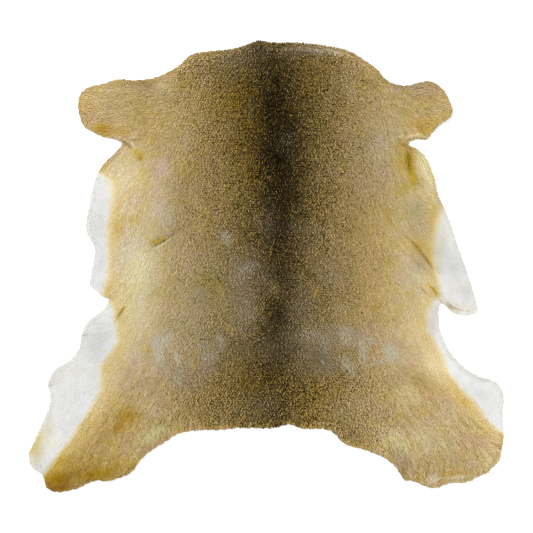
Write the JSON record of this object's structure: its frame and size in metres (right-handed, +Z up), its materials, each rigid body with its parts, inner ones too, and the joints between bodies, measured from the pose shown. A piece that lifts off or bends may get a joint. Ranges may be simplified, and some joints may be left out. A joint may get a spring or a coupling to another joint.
{
  "type": "reindeer hide",
  "caption": "Tanned reindeer hide with its short tan coat, a dark stripe along the spine and white belly flaps, lying flat hair side up as a rug or throw.",
  "frame": {"origin": "on the surface that the hide lies on, under the middle of its bounding box", "axes": "+Z up out of the hair side, +Y along the spine towards the neck, +X towards the hide's right side as seen from above with the neck away from the viewer"},
  "size_m": [1.1996, 1.1422, 0.0182],
  "materials": {
    "coat": "short dense hair, matt with a soft sheen",
    "skin": "matt tanned flesh side"
  },
  "bodies": {
    "root": {"hide": "coat"}
  },
  "joints": []
}
